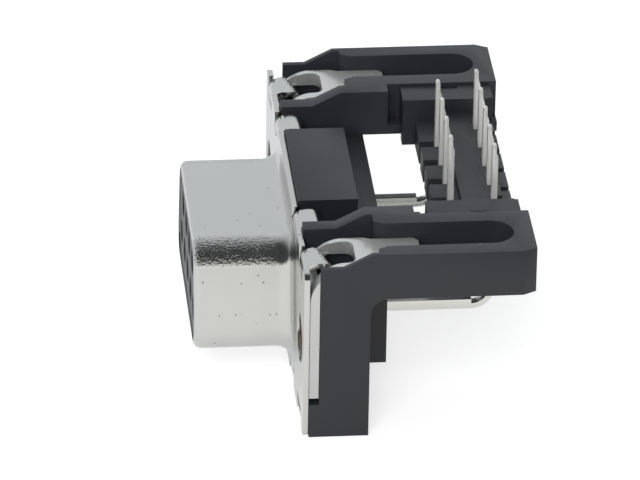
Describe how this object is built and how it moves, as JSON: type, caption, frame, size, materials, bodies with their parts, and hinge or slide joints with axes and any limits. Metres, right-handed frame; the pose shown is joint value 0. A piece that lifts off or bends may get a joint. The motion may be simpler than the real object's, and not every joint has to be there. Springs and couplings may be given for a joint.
{
  "type": "d-sub connector",
  "caption": "Right-angle D-subminiature socket with a drawn metal shell, side arms, a tail comb and bent ground straps for a printed board.",
  "frame": {"origin": "midway between the two flange screw holes, on the front face of the flange", "axes": "+X along the flange to the end seen near in the picture, -Y out of the mating side, +Z towards the printed board the solder tails enter"},
  "size_m": [0.0308, 0.0225, 0.017],
  "materials": {
    "shell_plating": "dull nickel plate",
    "housing_plastic": "satin moulded",
    "insulator_plastic": "satin moulded",
    "strap_tin": "bright tin plate",
    "contact_tin": "matt tin plate",
    "insert_brass": "turned"
  },
  "bodies": {
    "root": {"front_shell": "shell_plating", "front_insulator": "insulator_plastic", "rear_insulator": "insulator_plastic", "bracket": "housing_plastic", "tail_comb": "housing_plastic", "ground_strap_left": "strap_tin", "ground_strap_right": "strap_tin", "threaded_insert_left": "insert_brass", "threaded_insert_right": "insert_brass", "contact_1": "contact_tin", "contact_2": "contact_tin", "contact_3": "contact_tin", "contact_4": "contact_tin", "contact_5": "contact_tin", "contact_6": "contact_tin", "contact_7": "contact_tin", "contact_8": "contact_tin", "contact_9": "contact_tin"}
  },
  "joints": []
}
